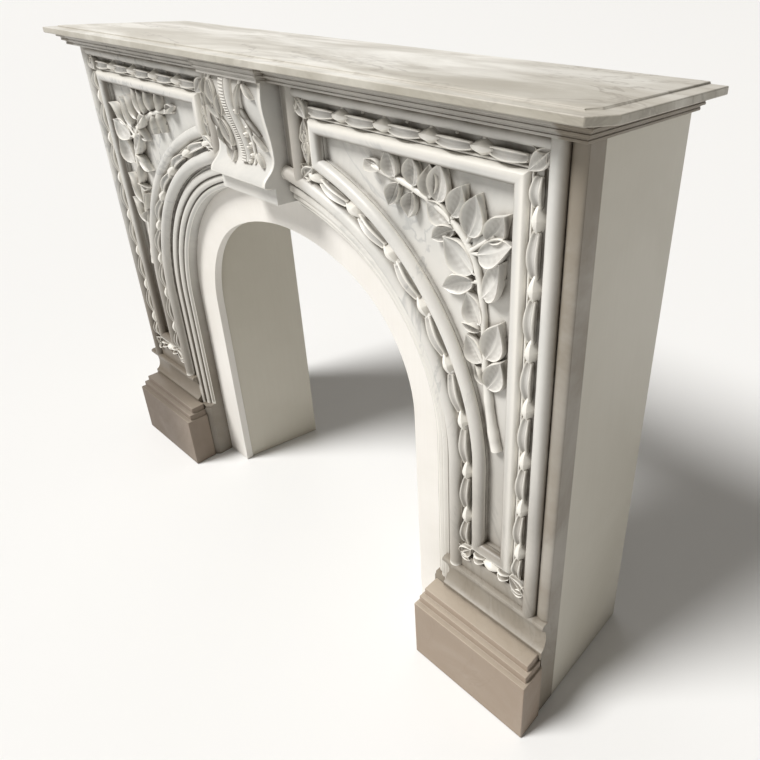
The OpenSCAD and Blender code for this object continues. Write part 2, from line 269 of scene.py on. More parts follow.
def addRange(tree, value, low, high, outLow=0.0, outHigh=1.0):
    # a smooth step from one range of values to another
    node = addNode(tree, "ShaderNodeMapRange", interpolation_type="SMOOTHSTEP")
    tree.links.new(value, node.inputs["Value"])
    node.inputs["From Min"].default_value = low
    node.inputs["From Max"].default_value = high
    node.inputs["To Min"].default_value = outLow
    node.inputs["To Max"].default_value = outHigh
    return node.outputs["Result"]


def addMath(tree, operation, a, b, clamp=True):
    # a and b are numbers or sockets
    node = addNode(tree, "ShaderNodeMath", operation=operation, use_clamp=clamp)
    for socket, value in zip(node.inputs, (a, b)):
        if isinstance(value, (int, float)):
            socket.default_value = value
        else:
            tree.links.new(value, socket)
    return node.outputs[0]


def addMix(tree, factor, a, b, blend="MIX"):
    # the factor is a number or a socket, a and b are colours or sockets
    node = addNode(tree, "ShaderNodeMix", data_type="RGBA", blend_type=blend)
    for socket, value in zip((node.inputs[0], node.inputs[6], node.inputs[7]), (factor, a, b)):
        if isinstance(value, (int, float)):
            socket.default_value = value
        elif isinstance(value, tuple):
            socket.default_value = (*value, 1)
        else:
            tree.links.new(value, socket)
    return node.outputs[2]


veinPattern = {
    # for each noise: scale, detail, roughness, distortion
    "clouds": (5.0, 6, 0.60, 0.7),
    "wander": (3.2, 5, 0.62, 1.6),
    "patches": (2.0, 3, 0.55, 0.0),
    "grain": (160.0, 3, 0.60, 0.0),
    "cloudRange": (0.32, 0.68),
    "patchRange": (0.45, 0.62),
    "middle": 0.5,          # value of the wandering noise at which a vein runs
    "width": 0.022,
}


def makeVeinGroup():
    # soft clouds and thin wandering veins: a vein is where a warped noise passes its middle
    group, inside, out = newGroup(
        "marbleVeins", [("Vector", "NodeSocketVector"), ("Stretch", "NodeSocketVector")],
        [("Clouds", "NodeSocketFloat"), ("Veins", "NodeSocketFloat"), ("Grain", "NodeSocketFloat")])
    scaled = addNode(group, "ShaderNodeVectorMath", operation="MULTIPLY")
    group.links.new(inside.outputs["Vector"], scaled.inputs[0])
    group.links.new(inside.outputs["Stretch"], scaled.inputs[1])
    vector = scaled.outputs[0]
    clouds = addNoise(group, vector, *veinPattern["clouds"])
    group.links.new(addRange(group, clouds, *veinPattern["cloudRange"]), out.inputs["Clouds"])
    wander = addNoise(group, vector, *veinPattern["wander"])
    offMiddle = addMath(group, "SUBTRACT", wander, veinPattern["middle"], False)
    away = addMath(group, "ABSOLUTE", offMiddle, 0)
    line = addRange(group, away, 0.0, veinPattern["width"], 1.0, 0.0)
    patches = addNoise(group, vector, *veinPattern["patches"])
    patchy = addRange(group, patches, *veinPattern["patchRange"])
    group.links.new(addMath(group, "MULTIPLY", line, patchy), out.inputs["Veins"])
    group.links.new(addNoise(group, vector, *veinPattern["grain"]), out.inputs["Grain"])
    return group


# settings of the dirt and painted shade in hollows
hollowDirtAndShadeLook = {
    "samples": 6,
    "shutRange": (0.25, 0.85),
    "breakup": (38.0, 4),   # scale and detail of the noise that breaks it up
    "breakRange": (0.3, 0.7),
    "least": 0.55,
}


def makeDirtAndShadeGroup():
    # old dirt and painted shade in hollows: darker in shut-in corners, broken up by noise
    group, inside, out = newGroup(
        "hollowDirtAndShade", [("Vector", "NodeSocketVector"), ("Reach", "NodeSocketFloat")],
        [("DirtAndShade", "NodeSocketFloat")])
    shut = addNode(group, "ShaderNodeAmbientOcclusion", samples=hollowDirtAndShadeLook["samples"])
    group.links.new(inside.outputs["Reach"], shut.inputs["Distance"])
    dark = addRange(group, shut.outputs["AO"], *hollowDirtAndShadeLook["shutRange"], 1.0, 0.0)
    breakup = addNoise(group, inside.outputs["Vector"], *hollowDirtAndShadeLook["breakup"])
    broken = addRange(group, breakup, *hollowDirtAndShadeLook["breakRange"], hollowDirtAndShadeLook["least"], 1.0)
    group.links.new(addMath(group, "MULTIPLY", dark, broken), out.inputs["DirtAndShade"])
    return group


stainAndShadeReach = {
    # where each stain and each painted shade fades: from, to, strength at from, strength at to
    "foot": (0.15, 0.80, 0.95, 0.0),
    "side": (0.700, 0.718, 0.0, 1.0),
    # painted shade under the shelf
    "underShelfShade": (1.09, 1.15, 0.0, 0.45),
    # painted shade in a band on both sides of the keystone
    "keyEdge": (0.096, 0.099, 0.0, 0.62),
    "pastKey": (0.135, 0.185, 0.62, 0.0),
    # painted shade on the left leg, darker towards the floor
    "leftLowShadeAcross": (-0.62, -0.28, 1.0, 0.0),
    "leftLowShadeUp": (0.25, 0.95, 1.0, 0.0),
    "patches": (3.4, 6, 0.62, 0.4),     # scale, detail, roughness and distortion of the noise
    "patchRange": (0.30, 0.60, 0.70, 1.0),
}


def makeStainAndShadeGroup():
    # StainAndShade: the strongest of a stain at the foot, a stain down the outer side, painted shade under
    # the shelf and painted shade in a band on both sides of the keystone, in broad patches. LeftLowShade:
    # painted shade on the left leg, growing towards the floor.
    group, inside, out = newGroup(
        "stainAndShadeMasks", [("Vector", "NodeSocketVector")],
        [("StainAndShade", "NodeSocketFloat"), ("LeftLowShade", "NodeSocketFloat")])
    split = addNode(group, "ShaderNodeSeparateXYZ")
    group.links.new(inside.outputs["Vector"], split.inputs[0])
    across, up = split.outputs["X"], split.outputs["Z"]
    wide = addMath(group, "ABSOLUTE", across, 0, False)
    foot = addRange(group, up, *stainAndShadeReach["foot"])
    side = addRange(group, wide, *stainAndShadeReach["side"])
    underShelfShade = addRange(group, up, *stainAndShadeReach["underShelfShade"])
    besideKeyShade = addMath(group, "MINIMUM", addRange(group, wide, *stainAndShadeReach["keyEdge"]),
                     addRange(group, wide, *stainAndShadeReach["pastKey"]))
    most = addMath(group, "MAXIMUM", addMath(group, "MAXIMUM", foot, side),
                   addMath(group, "MAXIMUM", underShelfShade, besideKeyShade))
    patches = addNoise(group, inside.outputs["Vector"], *stainAndShadeReach["patches"])
    broad = addRange(group, patches, *stainAndShadeReach["patchRange"])
    group.links.new(addMath(group, "MULTIPLY", most, broad), out.inputs["StainAndShade"])
    # painted shade: the left leg, darker towards the floor
    leftLowShade = addMath(group, "MULTIPLY", addRange(group, across, *stainAndShadeReach["leftLowShadeAcross"]),
                   addRange(group, up, *stainAndShadeReach["leftLowShadeUp"]))
    group.links.new(leftLowShade, out.inputs["LeftLowShade"])
    return group


veinGroup = makeVeinGroup()
dirtAndShadeGroup = makeDirtAndShadeGroup()
stainAndShadeGroup = makeStainAndShadeGroup()


def placeGroup(tree, group, vector, **values):
    # a node group in a material, with its settings
    node = addNode(tree, "ShaderNodeGroup", node_tree=group)
    tree.links.new(vector, node.inputs["Vector"])
    for key, value in values.items():
        node.inputs[key].default_value = value
    return node


def newMaterial(name, roughness, specular):
    material = bpy.data.materials.new(name)
    material.use_nodes = True
    tree = material.node_tree
    shader = tree.nodes["Principled BSDF"]
    shader.inputs["Roughness"].default_value = roughness
    shader.inputs["Specular IOR Level"].default_value = specular
    place = addNode(tree, "ShaderNodeTexCoord").outputs["Object"]
    return material, tree, shader, place


def addBump(tree, shader, height, strength, distance):
    bump = addNode(tree, "ShaderNodeBump")
    bump.inputs["Strength"].default_value = strength
    bump.inputs["Distance"].default_value = distance
    tree.links.new(height, bump.inputs["Height"])
    tree.links.new(bump.outputs["Normal"], shader.inputs["Normal"])


stone = {
    "light": (0.68, 0.663, 0.625),
    "cloud": (0.55, 0.545, 0.52),
    # colour of the painted highlight on carved edges
    "accentTone": (0.84, 0.815, 0.755),
    "vein": (0.33, 0.34, 0.34),
    # colour of the stains, also of the painted shade under the shelf and beside the keystone
    "stainAndShade": (0.205, 0.170, 0.124),
    # colour of hollow dirt with painted shade, also of the painted shade on the left leg
    "dirtAndShade": (0.12, 0.096, 0.070),
    "stretch": (1.0, 1.0, 0.62),
    "dirtAndShadeReach": 0.018,
    "roughness": 0.42,
    "relief": 0.0011,
    "stainAndShadeStrength": 0.92,
    # strength of the painted shade on the left leg
    "leftLowShade": 0.72,
    "sideShade": None,      # painted shade: what the colour is multiplied by where the stone doesn't face up
}
shelfStone = {
    "light": (0.88, 0.86, 0.80),
    "cloud": (0.53, 0.50, 0.435),
    "vein": (0.36, 0.33, 0.29),
    "stainAndShade": (0.42, 0.38, 0.32),
    "dirtAndShade": (0.15, 0.125, 0.10),
    "stretch": (0.45, 1.3, 1.0),
    "dirtAndShadeReach": 0.012,
    "roughness": 0.40,
    "relief": 0.0016,
    "stainAndShadeStrength": 0.22,
    "leftLowShade": 0.0,
    # painted shade on the shelf's faces that don't face up
    "sideShade": (0.70, 0.69, 0.66),
}
plinthStone = {
    "light": (0.64, 0.60, 0.52),
    "cloud": (0.42, 0.38, 0.31),
    "vein": (0.30, 0.265, 0.21),
    "stainAndShade": (0.40, 0.335, 0.265),
    "dirtAndShade": (0.14, 0.115, 0.09),
    "stretch": (1.0, 1.0, 1.0),
    "dirtAndShadeReach": 0.015,
    "roughness": 0.55,
    "relief": 0.0022,
    "stainAndShadeStrength": 0.92,
    # strength of the painted shade on the left plinth
    "leftLowShade": 0.85,
    # painted shade on the plinths' faces that don't face up
    "sideShade": (0.76, 0.71, 0.685),
}


finish = {
    "specular": 0.45,
    "veining": 0.55,
    # share of the hollow dirt and painted shade
    "dirtAndShadeShare": 0.92,
    "upright": (0.4, 0.9, 1.0, 0.0),        # upward part of the normal over which the painted side shade fades out
    "hollow": (0.42, 0.495, 0.78, 0.0),     # pointiness of hollows, and how much dirt and painted shade they get
    "edge": (0.50, 0.56, 0.0, 0.90),        # pointiness of edges, and how much painted highlight they get
    "rougher": (-0.06, 0.10),               # change of roughness from clear to cloudy stone
    "pits": (24.0, 5, 0.6),                 # scale, detail and roughness of the uneven surface
    "grain": 0.3,
    "bump": 0.5,
}


def makeStone(name, look, carved=False):
    # marble, then stains and painted shade over it: under the shelf, beside the keystone, on the left leg
    # towards the floor and on faces that don't face up, then hollow dirt with painted shade; carved stone
    # also gets darker hollows (dirt and painted shade) and a painted highlight on its edges
    material, tree, shader, place = newMaterial(name, look["roughness"], finish["specular"])
    veins = placeGroup(tree, veinGroup, place, Stretch=look["stretch"])
    dirtAndShade = placeGroup(tree, dirtAndShadeGroup, place, Reach=look["dirtAndShadeReach"])
    stainAndShade = placeGroup(tree, stainAndShadeGroup, place)
    colour = addMix(tree, veins.outputs["Clouds"], look["light"], look["cloud"])
    for source, strength, tone in ((veins.outputs["Veins"], finish["veining"], look["vein"]),
                                   (stainAndShade.outputs["StainAndShade"], look["stainAndShadeStrength"], look["stainAndShade"]),
                                   (stainAndShade.outputs["LeftLowShade"], look["leftLowShade"], look["dirtAndShade"])):
        colour = addMix(tree, addMath(tree, "MULTIPLY", source, strength), colour, tone)
    # painted shade: faces that don't face up are darker
    if look["sideShade"]:
        split = addNode(tree, "ShaderNodeSeparateXYZ")
        tree.links.new(addNode(tree, "ShaderNodeNewGeometry").outputs["Normal"], split.inputs[0])
        upright = addRange(tree, split.outputs["Z"], *finish["upright"])
        colour = addMix(tree, upright, colour, look["sideShade"], "MULTIPLY")
    # dirt with painted shade in hollows and corners
    dirtAndShadeShare = addMath(tree, "MULTIPLY", dirtAndShade.outputs["DirtAndShade"], finish["dirtAndShadeShare"])
    colour = addMix(tree, dirtAndShadeShare, colour, look["dirtAndShade"])
    if carved:
        # darker hollows with dirt and painted shade, then a painted highlight on convex edges
        bulge = addNode(tree, "ShaderNodeNewGeometry").outputs["Pointiness"]
        colour = addMix(tree, addRange(tree, bulge, *finish["hollow"]), colour, look["dirtAndShade"])
        colour = addMix(tree, addRange(tree, bulge, *finish["edge"]), colour, look["accentTone"])
    tree.links.new(colour, shader.inputs["Base Color"])
    low, high = [look["roughness"] + change for change in finish["rougher"]]
    tree.links.new(addRange(tree, veins.outputs["Clouds"], 0, 1, low, high), shader.inputs["Roughness"])
    wear = addMix(tree, finish["grain"], addNoise(tree, place, *finish["pits"]), veins.outputs["Grain"])
    addBump(tree, shader, wear, finish["bump"], look["relief"])
    return material


slipLook = {
    "light": (0.80, 0.775, 0.735),
    "accentTone": (0.69, 0.66, 0.60),
    "dirtAndShade": (0.33, 0.29, 0.24),
    "roughness": 0.38,
}
# the slip's paint made darker: painted shade for the returns and cheeks
shadedBoardLook = dict(slipLook, light=(0.58, 0.55, 0.475), accentTone=(0.50, 0.47, 0.395))
brushwork = {
    "stretch": (60, 60, 2.2),       # strokes run up the board
    "strokes": (3.0, 4, 0.6),       # scale, detail and roughness
    "strokeRange": (0.35, 0.7, 0.0, 0.12),
    "patches": (2.6, 5, 0.6, 0.5),
    "patchRange": (0.4, 0.75, 0.0, 0.6),
    # reach and share of the dirt and painted shade in corners
    "dirtAndShadeReach": 0.03,
    "dirtAndShadeShare": 0.35,
    "specular": 0.4,
    "bump": (0.25, 0.0006),         # strength, height
}


def makePaint(name, look):
    # brushed satin paint: long faint strokes up the board, greyer patches, and dirt with painted shade in
    # corners
    material, tree, shader, place = newMaterial(name, look["roughness"], brushwork["specular"])
    stretched = addNode(tree, "ShaderNodeVectorMath", operation="MULTIPLY")
    tree.links.new(place, stretched.inputs[0])
    stretched.inputs[1].default_value = brushwork["stretch"]
    strokes = addNoise(tree, stretched.outputs[0], *brushwork["strokes"])
    patches = addNoise(tree, place, *brushwork["patches"])
    dirtAndShade = placeGroup(tree, dirtAndShadeGroup, place, Reach=brushwork["dirtAndShadeReach"])
    colour = addMix(tree, addRange(tree, patches, *brushwork["patchRange"]), look["light"], look["accentTone"])
    colour = addMix(tree, addRange(tree, strokes, *brushwork["strokeRange"]), colour, look["accentTone"])
    # dirt with painted shade in corners
    dirtAndShadeShare = addMath(tree, "MULTIPLY", dirtAndShade.outputs["DirtAndShade"], brushwork["dirtAndShadeShare"])
    colour = addMix(tree, dirtAndShadeShare, colour, look["dirtAndShade"])
    tree.links.new(colour, shader.inputs["Base Color"])
    addBump(tree, shader, strokes, *brushwork["bump"])
    return material


marble = makeStone("carraraMarble", stone)
carvedMarble = makeStone("carvedMarble", stone, carved=True)
shelfMarble = makeStone("stainedShelfMarble", shelfStone)
plinthMarble = makeStone("warmPlinthMarble", plinthStone)
slipPaint = makePaint("slipPaint", slipLook)
shadedBoardPaint = makePaint("boardPaintInPaintedShade", shadedBoardLook)
print("materials made")


# cut blocks with worn edges: material, slot name, width of the wear
blocks = {
    "shelf": (shelfMarble, "shelf_marble", 0.0022),
    "right_plinth": (plinthMarble, "plinth_marble", 0.0018),
    "left_plinth": (plinthMarble, "plinth_marble", 0.0018),
    "right_return": (shadedBoardPaint, "painted_board", 0.0010),
    "left_return": (shadedBoardPaint, "painted_board", 0.0010),
    "right_cheek": (shadedBoardPaint, "painted_board", 0.0010),
    "left_cheek": (shadedBoardPaint, "painted_board", 0.0010),
}
for node, (material, slotName, width) in blocks.items():
    softenCut(node, material, width)

plainBlocks = {"right_leg": marble, "left_leg": marble, "keystone": marble, "arch_slip": slipPaint}
for node, material in plainBlocks.items():
    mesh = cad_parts[node].data
    mesh.materials.clear()
    mesh.materials.append(material)
print("blocks finished")


shelfLow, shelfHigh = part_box("shelf")
fillets = {
    "count": 3,
    "first": 0.024,        # set back of the first cut fillet behind the shelf's edge
    "step": 0.007,
    "tall": 0.009,
    "proud": 0.0003,       # how far the fine fillets stand in front of the cut ones
    # one fillet from its top down, with a fine groove along it: depth, drop
    "section": ((0, 0.0001), (0, 0.0030), (0.0011, 0.0035), (0.0011, 0.0045),
                (0, 0.0050), (0, 0.0080), (0.0008, 0.0087)),
    "tuck": 0.0006,        # how much lower the second and third begin
    "inner": ((0.076, 0.0003), (0.076, 0.0269)),   # back of the section: set back, rise above the legs
    "overKey": (0.108, 0.093),   # half width and reach of the break over the keystone
    "keyStep": 4 / 7,            # depth of a step there, as a share of one elsewhere
}


def makeFillets():
    # a section of three lined fillets carried round the left side, the front and the right side,
    # breaking forward over the keystone; every point of the section keeps its own distance from the
    # shelf's edge, and over the keystone the steps between fillets are keyStep times as deep
    section = []
    for i in range(fillets["count"]):
        front = fillets["first"] + i * fillets["step"] - fillets["proud"]
        z = legTop + (fillets["count"] - i) * fillets["tall"]
        points = [(front + depth, z - drop) for depth, drop in fillets["section"]]
        if i > 0:
            points[0] = (front, points[0][1] - fillets["tuck"])
        section += points
    section += [(back, legTop + rise) for back, rise in fillets["inner"]]
    strands = []
    for back, z in section:
        x, y = shelfHigh[0] - back, shelfLow[1] + back
        share = (back - fillets["first"]) * fillets["keyStep"]
        keyX, keyY = fillets["overKey"][0] - share, marbleBack - fillets["overKey"][1] + share
        path = [(-x, shelfHigh[1]), (-x, y), (-keyX, y), (-keyX, keyY),
                (keyX, keyY), (keyX, y), (x, y), (x, shelfHigh[1])]
        strands.append([(a, b, z) for a, b in path])
    return [(np.swapaxes(np.array(strands, float), 0, 1), False)]


linedFillets = buildPiece("linedFillets", makeFillets(), marble, (1,), 20)[0]
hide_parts("bed_moulding")


mouldings = {
    "skin": 0.0004,       # how far a fine moulding stands proud of the cut one
    "points": 18,         # points round a roll
    "root": 0.034,        # height in front of the marble's back that a moulding's sides run down to
    "rootWidth": 0.7,     # half width down there, as a share of the roll's radius
    "inside": 0.0002,     # how far an end stays inside the cut stone
}


def rollSection(width):
    # half round with straight sides that run down into the stone: pairs of across and height
    a = np.linspace(0, math.pi, mouldings["points"])
    r = width / 2 + mouldings["skin"]
    foot = r * mouldings["rootWidth"]
    across = np.concatenate([-r * np.cos(a), [foot, -foot]])
    root = mouldings["root"]
    up = np.concatenate([leg["rollHeight"] + r * np.sin(a), [root, root]])
    return np.stack([across, up], -1)


def archStrand(d, footZ, height):
    # the arch line d at one height, in even steps from footZ to where it meets the keystone
    total = arch["springZ"] - footZ + archLength(d, keySide)
    s = np.linspace(0, 1, arch["steps"]) * total
    return along(archLine(d, footZ), s, 0.0, height)


def panelStrand(grow, height):
    # the panel's outline grown outwards, at one height: arch side from the foot up, then the three
    # straight sides
    left, right = panelLeft - grow, panelRight + grow
    top, foot = panelTop + grow, panelFoot - grow
    total = arch["springZ"] - foot + archLength(panelArch - grow, left)
    x, z = archLine(panelArch - grow, foot)(np.linspace(0, 1, arch["steps"]) * total)[:2]
    x = np.concatenate([x, [left, right, right]])
    z = np.concatenate([z, [top, top, foot]])
    return np.stack([x, marbleBack - height + 0 * x, z], -1)


# edge of the opening: three swelling bands with sharp grooves between them
revealProfile = np.array([
    (0.0000, 0.0226), (0.0014, 0.0236), (0.0040, 0.0256), (0.0070, 0.0274), (0.0100, 0.0276),
    (0.0112, 0.0262), (0.0118, 0.0226), (0.0137, 0.0226), (0.0138, 0.0306), (0.0160, 0.0330),
    (0.0195, 0.0347), (0.0235, 0.0348), (0.0265, 0.0336), (0.0276, 0.0306), (0.0297, 0.0306),
    (0.0298, 0.0386), (0.0320, 0.0403), (0.0355, 0.0413), (0.0400, 0.0411), (0.0435, 0.0399),
    (0.0448, 0.0384), (0.0453, 0.0306), (0.0535, 0.0306), (0.0535, 0.0200), (0.0010, 0.0200)])


def makeReveal():
    # every point of the profile follows its own arch line, so the ends stay flush with the keystone
    strands = [archStrand(d, leg["footZ"], up) for d, up in revealProfile]
    return [(np.stack(strands, 1), False)]


def makeArchRoll():
    # every point of a half round follows its own arch line, up to the keystone
    centre = leg["archRollAt"] + leg["roll"] / 2
    strands = [archStrand(centre + across, leg["lipZ"], up) for across, up in rollSection(leg["roll"])]
    return [(np.stack(strands, 1), False)]


def makePanelRoll():
    # every point of a half round follows the panel's outline, grown by its own distance from it
    centre = leg["innerRoll"] / 2
    strands = [panelStrand(centre + across, up) for across, up in rollSection(leg["innerRoll"])]
    return [(np.stack(strands, 1), True)]


fillet = {
    # distance out from the panel roll's outer foot, height in front of the marble's back
    "section": ((0.0012, 0.0429), (0.0016, 0.0435), (0.0038, 0.0435), (0.0044, 0.0429),
                (0.0044, mouldings["root"]), (0.0012, mouldings["root"])),
}


def makeFillet():
    # a thin flat strip round the panel roll: its section carried along the panel's grown outline
    strands = [panelStrand(leg["innerRoll"] + across, up) for across, up in fillet["section"]]
    return [(np.stack(strands, 1), True)]


edgeRoll = {
    "width": 0.0250,
    "rise": 0.0055,        # how far it stands in front of the leg's face
    "setBack": 0.0004,     # from the leg's outer side
}


def makeEdgeRoll():
    # flattened bead down the outer margin: half an ellipse, width across and rise forwards
    a = np.linspace(0, math.pi, mouldings["points"])
    half = edgeRoll["width"] / 2
    across = np.concatenate([-half * np.cos(a), [half, -half]])
    root = mouldings["root"]
    up = np.concatenate([leg["face"] + edgeRoll["rise"] * np.sin(a), [root, root]])
    ends = np.array([leg["lipZ"], legTop - mouldings["inside"]])
    z, x = np.meshgrid(ends, legSide - edgeRoll["setBack"] - half + across, indexing="ij")
    return [(np.stack([x, marbleBack - np.broadcast_to(up, x.shape), z], -1), False)]


cavetto = {
    "inner": arch["halfWidth"] + 0.0392,
    # reach in front of the marble's back, height: rounded lip, deep hollow and foot fillet
    "section": ((0.0380, 0.2614), (0.0500, 0.2614), (0.0540, 0.2596), (0.0556, 0.2560), (0.0546, 0.2518),
                (0.0510, 0.2488), (0.0508, 0.2472), (0.0468, 0.2440), (0.0428, 0.2370), (0.0406, 0.2280),
                (0.0398, 0.2180), (0.0402, 0.2080), (0.0424, 0.1990), (0.0464, 0.1925), (0.0515, 0.1892),
                (0.0530, 0.1880), (0.0530, 0.1690), (0.0380, 0.1690)),
}


def makeCavetto():
    # the hollow band over the foot of a leg, run straight from side to side
    section = np.array(cavetto["section"])
    ends = np.array([cavetto["inner"], legSide - mouldings["inside"]])
    x, up = np.meshgrid(ends, section[:, 0], indexing="ij")
    z = np.broadcast_to(section[:, 1], x.shape)
    return [(np.stack([x, marbleBack - up, z], -1), False)]


buildPiece("Reveal", makeReveal(), carvedMarble, (1, -1), 30)
buildPiece("ArchRoll", makeArchRoll(), carvedMarble, (1, -1))
buildPiece("PanelRoll", makePanelRoll(), carvedMarble, (1, -1))
buildPiece("Fillet", makeFillet(), carvedMarble, (1, -1))
buildPiece("Cavetto", makeCavetto(), marble, (1, -1), 40)
buildPiece("EdgeRoll", makeEdgeRoll(), marble, (1, -1))


bead = {
    "length": 0.056,
    "width": 0.0268,
    "height": 0.0172,
    "rows": 22,
    "side": 7,             # beads down the outer side
    "top": 4,
    "archCount": 8,
    "sideEnd": 0.080,      # from the corner to the first bead
    "topEnd": 0.100,
    "archStart": 0.090,
    "archEnd": 0.018,
    "taper": 1.22,         # the higher, the fuller its sides
    "ridge": 1.9,
    "sink": 0.001,
}
ribbon = {
    "width": 0.0178,
    "rise": 0.0056,        # of its trough above the channel's floor, at the ends
    "lift": 0.0078,        # how far the middle of a ribbon arches forward
    "dish": 0.0052,
    "narrow": 0.64,        # width at the ends, as a share of the middle's
    "rows": 22,
    "tuck": 0.011,         # how far its ends run in under the beads
    "shortest": 0.014,
    "sink": 0.002,
}
pearl = {"radius": 0.0030, "across": 0.0125}
channelFloor = leg["face"]


def beadGrid(line, s0):
    # a pointed lozenge: half width and height shrink from the middle to the points, and the section
    # is two slanting facets with a narrow ridged one between them
    u = np.linspace(-1, 1, bead["rows"] * 2 + 1)[:, None]
    v = np.array([-1.0, -0.97, -0.32, 0.0, 0.32, 0.97, 1.0, 0.8, -0.8])[None, :]
    rise = np.array([-0.05, 0.12, 0.94, 1.0, 0.94, 0.12, -0.05, -0.3, -0.3])[None, :]
    shape = (1 - np.abs(u) ** bead["taper"]) + 0.012
    ridge = (1 - np.abs(u) ** bead["ridge"]) * 0.90 + 0.10
    across = bead["width"] / 2 * shape * v
    up = channelFloor - bead["sink"] + bead["height"] * ridge * rise
    return along(line, s0 + u * bead["length"] / 2 + 0 * across, across, up)


def ribbonGrid(line, s0, s1):
    # a strip between two beads, with raised round edges on both sides of a trough; its width and the
    # arch of its middle follow a sine of the length
    u = np.linspace(0, 1, ribbon["rows"])[:, None]
    v = np.array([-0.84, -0.97, -1.0, -0.93, -0.80, -0.66, -0.50, -0.28, 0.0,
                  0.28, 0.50, 0.66, 0.80, 0.93, 1.0, 0.97, 0.84, 0.50, -0.50])[None, :]
    cup = np.array([-0.8, -0.1, 0.45, 0.88, 1.0, 0.80, 0.34, 0.06, 0.0,
                    0.06, 0.34, 0.80, 1.0, 0.88, 0.45, -0.1, -0.8])[None, :]
    swell = np.sin(math.pi * u)
    across = ribbon["width"] / 2 * (ribbon["narrow"] + (1 - ribbon["narrow"]) * swell ** 0.8) * v
    lift = ribbon["lift"] * np.clip(swell, 0, 1) ** 1.1
    up = channelFloor + ribbon["rise"] + lift + ribbon["dish"] * cup
    floor = np.full((len(u), 2), channelFloor - ribbon["sink"])
    up = np.concatenate([up, floor], 1)
    return along(line, s0 + u * (s1 - s0) + 0 * across, across, up)


def pearlGrid(line, s0, across):
    # a small half ball, from its foot (angle 0) to its top
    a = np.linspace(0, math.pi / 2, 5)[:, None]
    b = np.linspace(0, 2 * math.pi, 10, endpoint=False)[None, :]
    reach = pearl["radius"] * np.cos(a)
    return along(line, s0 + reach * np.cos(b), across + reach * np.sin(b),
                 channelFloor + pearl["radius"] * np.sin(a))


beadParts, ribbonParts, pearlParts = [], [], []
cornerGap = 0.020
archGap = 0.004


def trimChannel(line, places, end, outerSide):
    # beads at their places, ribbons between them and out to both ends, pearls along the outer side,
    # beside every bead and every ribbon between two
    reach = bead["length"] / 2 - ribbon["tuck"]
    for s in places:
        addGrid(beadParts, beadGrid(line, s))
    starts = [cornerGap, *[s + reach for s in places]]
    stops = [*[s - reach for s in places], end]
    for s0, s1 in zip(starts, stops):
        if s1 - s0 > ribbon["shortest"]:
            addGrid(ribbonParts, ribbonGrid(line, s0, s1))
    for s in sorted([*places, *[(a + b) / 2 for a, b in zip(places[:-1], places[1:])]]):
        addGrid(pearlParts, pearlGrid(line, s, outerSide * pearl["across"]))


def spaced(first, last, count):
    # even places from the first to the last
    return [first + (last - first) * i / (count - 1) for i in range(count)]


footStart = arch["halfWidth"] + midArch
sideLine, sideLength = straightLine((midRight, midTop), (midRight, midFoot))
topLine, topLength = straightLine((midLeft, midTop), (midRight, midTop))
footLine, footLength = straightLine((footStart, midFoot), (midRight, midFoot))
archChannel = archLine(midArch, midFoot)
archTotal = arch["springZ"] - midFoot + archLength(midArch, midLeft)
sidePlaces = spaced(bead["sideEnd"], sideLength - bead["sideEnd"], bead["side"])
topPlaces = spaced(bead["topEnd"], topLength - bead["topEnd"], bead["top"])
archPlaces = spaced(bead["archStart"], archTotal - bead["archEnd"], bead["archCount"])
trimChannel(sideLine, sidePlaces, sideLength - cornerGap, -1)
trimChannel(topLine, topPlaces, topLength - cornerGap, -1)
trimChannel(footLine, [footLength / 2], footLength - cornerGap, 1)
trimChannel(archChannel, archPlaces, archTotal - archGap, 1)
buildPiece("Beads", beadParts, carvedMarble, (1, -1), 32)
buildPiece("Ribbons", ribbonParts, carvedMarble, (1, -1), 50)
buildPiece("Pearls", pearlParts, carvedMarble, (1, -1))


leafForm = {
    "rimAt": 0.69,         # across a leaf from its rib (0) to its edge (1)
    "rimWidth": 0.16,
    "dishEnd": 0.74,
    "ribWidth": 0.09,
    "veins": 7,            # slanting veins along a leaf
    "tilt": 3.2,
    "curlFrom": 0.5,       # along a leaf from its stalk (0) to its tip (1)
    "bendEnd": 0.66,
    "sink": 0.0015,        # how far its sides go down into the ground
}


